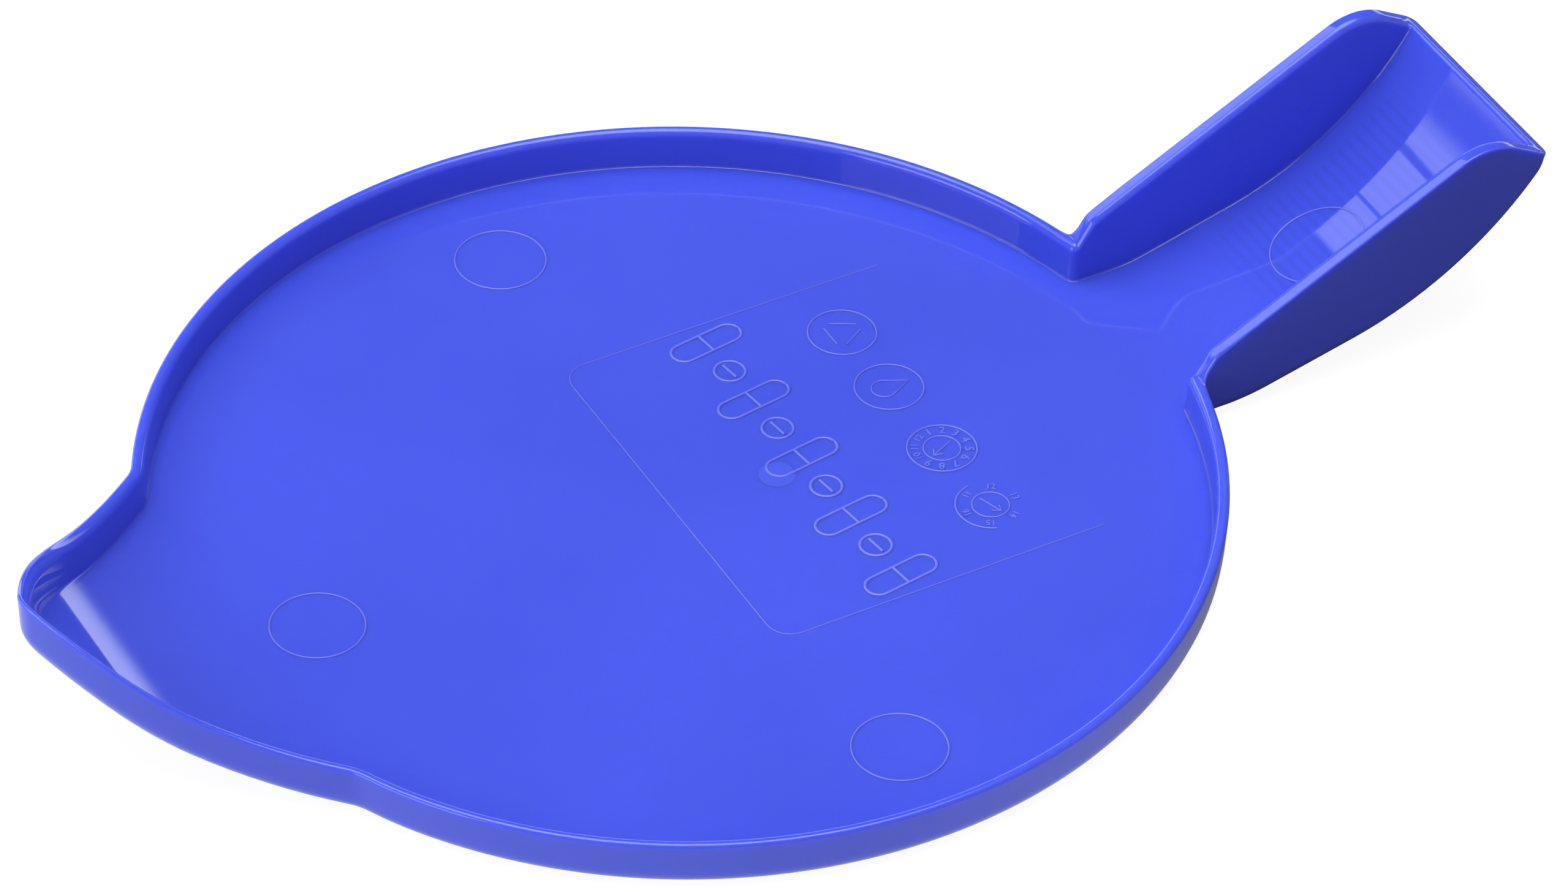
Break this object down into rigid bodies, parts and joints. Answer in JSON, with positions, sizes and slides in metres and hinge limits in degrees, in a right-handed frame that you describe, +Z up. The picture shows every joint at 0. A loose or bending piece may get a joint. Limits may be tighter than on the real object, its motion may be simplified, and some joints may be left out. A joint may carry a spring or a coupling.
{
  "type": "pill counting tray",
  "caption": "Shallow round one-piece plastic tray with a low rim, a pointed pouring spout and a trough-shaped handle between two tall cheeks.",
  "frame": {"origin": "centre of the round dish on its flat underside", "axes": "+X from the dish centre to the handle's end, -X to the spout's point, +Y across the tray, +Z up out of the dish"},
  "size_m": [0.2799, 0.185, 0.0395],
  "materials": {
    "tray_plastic": "glossy opaque cobalt-blue moulding"
  },
  "bodies": {
    "root": {"dish_floor": "tray_plastic", "spout_floor": "tray_plastic", "handle_floor": "tray_plastic", "rim_wall_left": "tray_plastic", "rim_wall_right": "tray_plastic", "spout_wall_left": "tray_plastic", "spout_wall_right": "tray_plastic", "handle_cheek_left": "tray_plastic", "handle_cheek_right": "tray_plastic", "grip_ribs": "tray_plastic", "ejector_rings": "tray_plastic", "date_roundels": "tray_plastic", "panel_outline": "tray_plastic"}
  },
  "joints": []
}
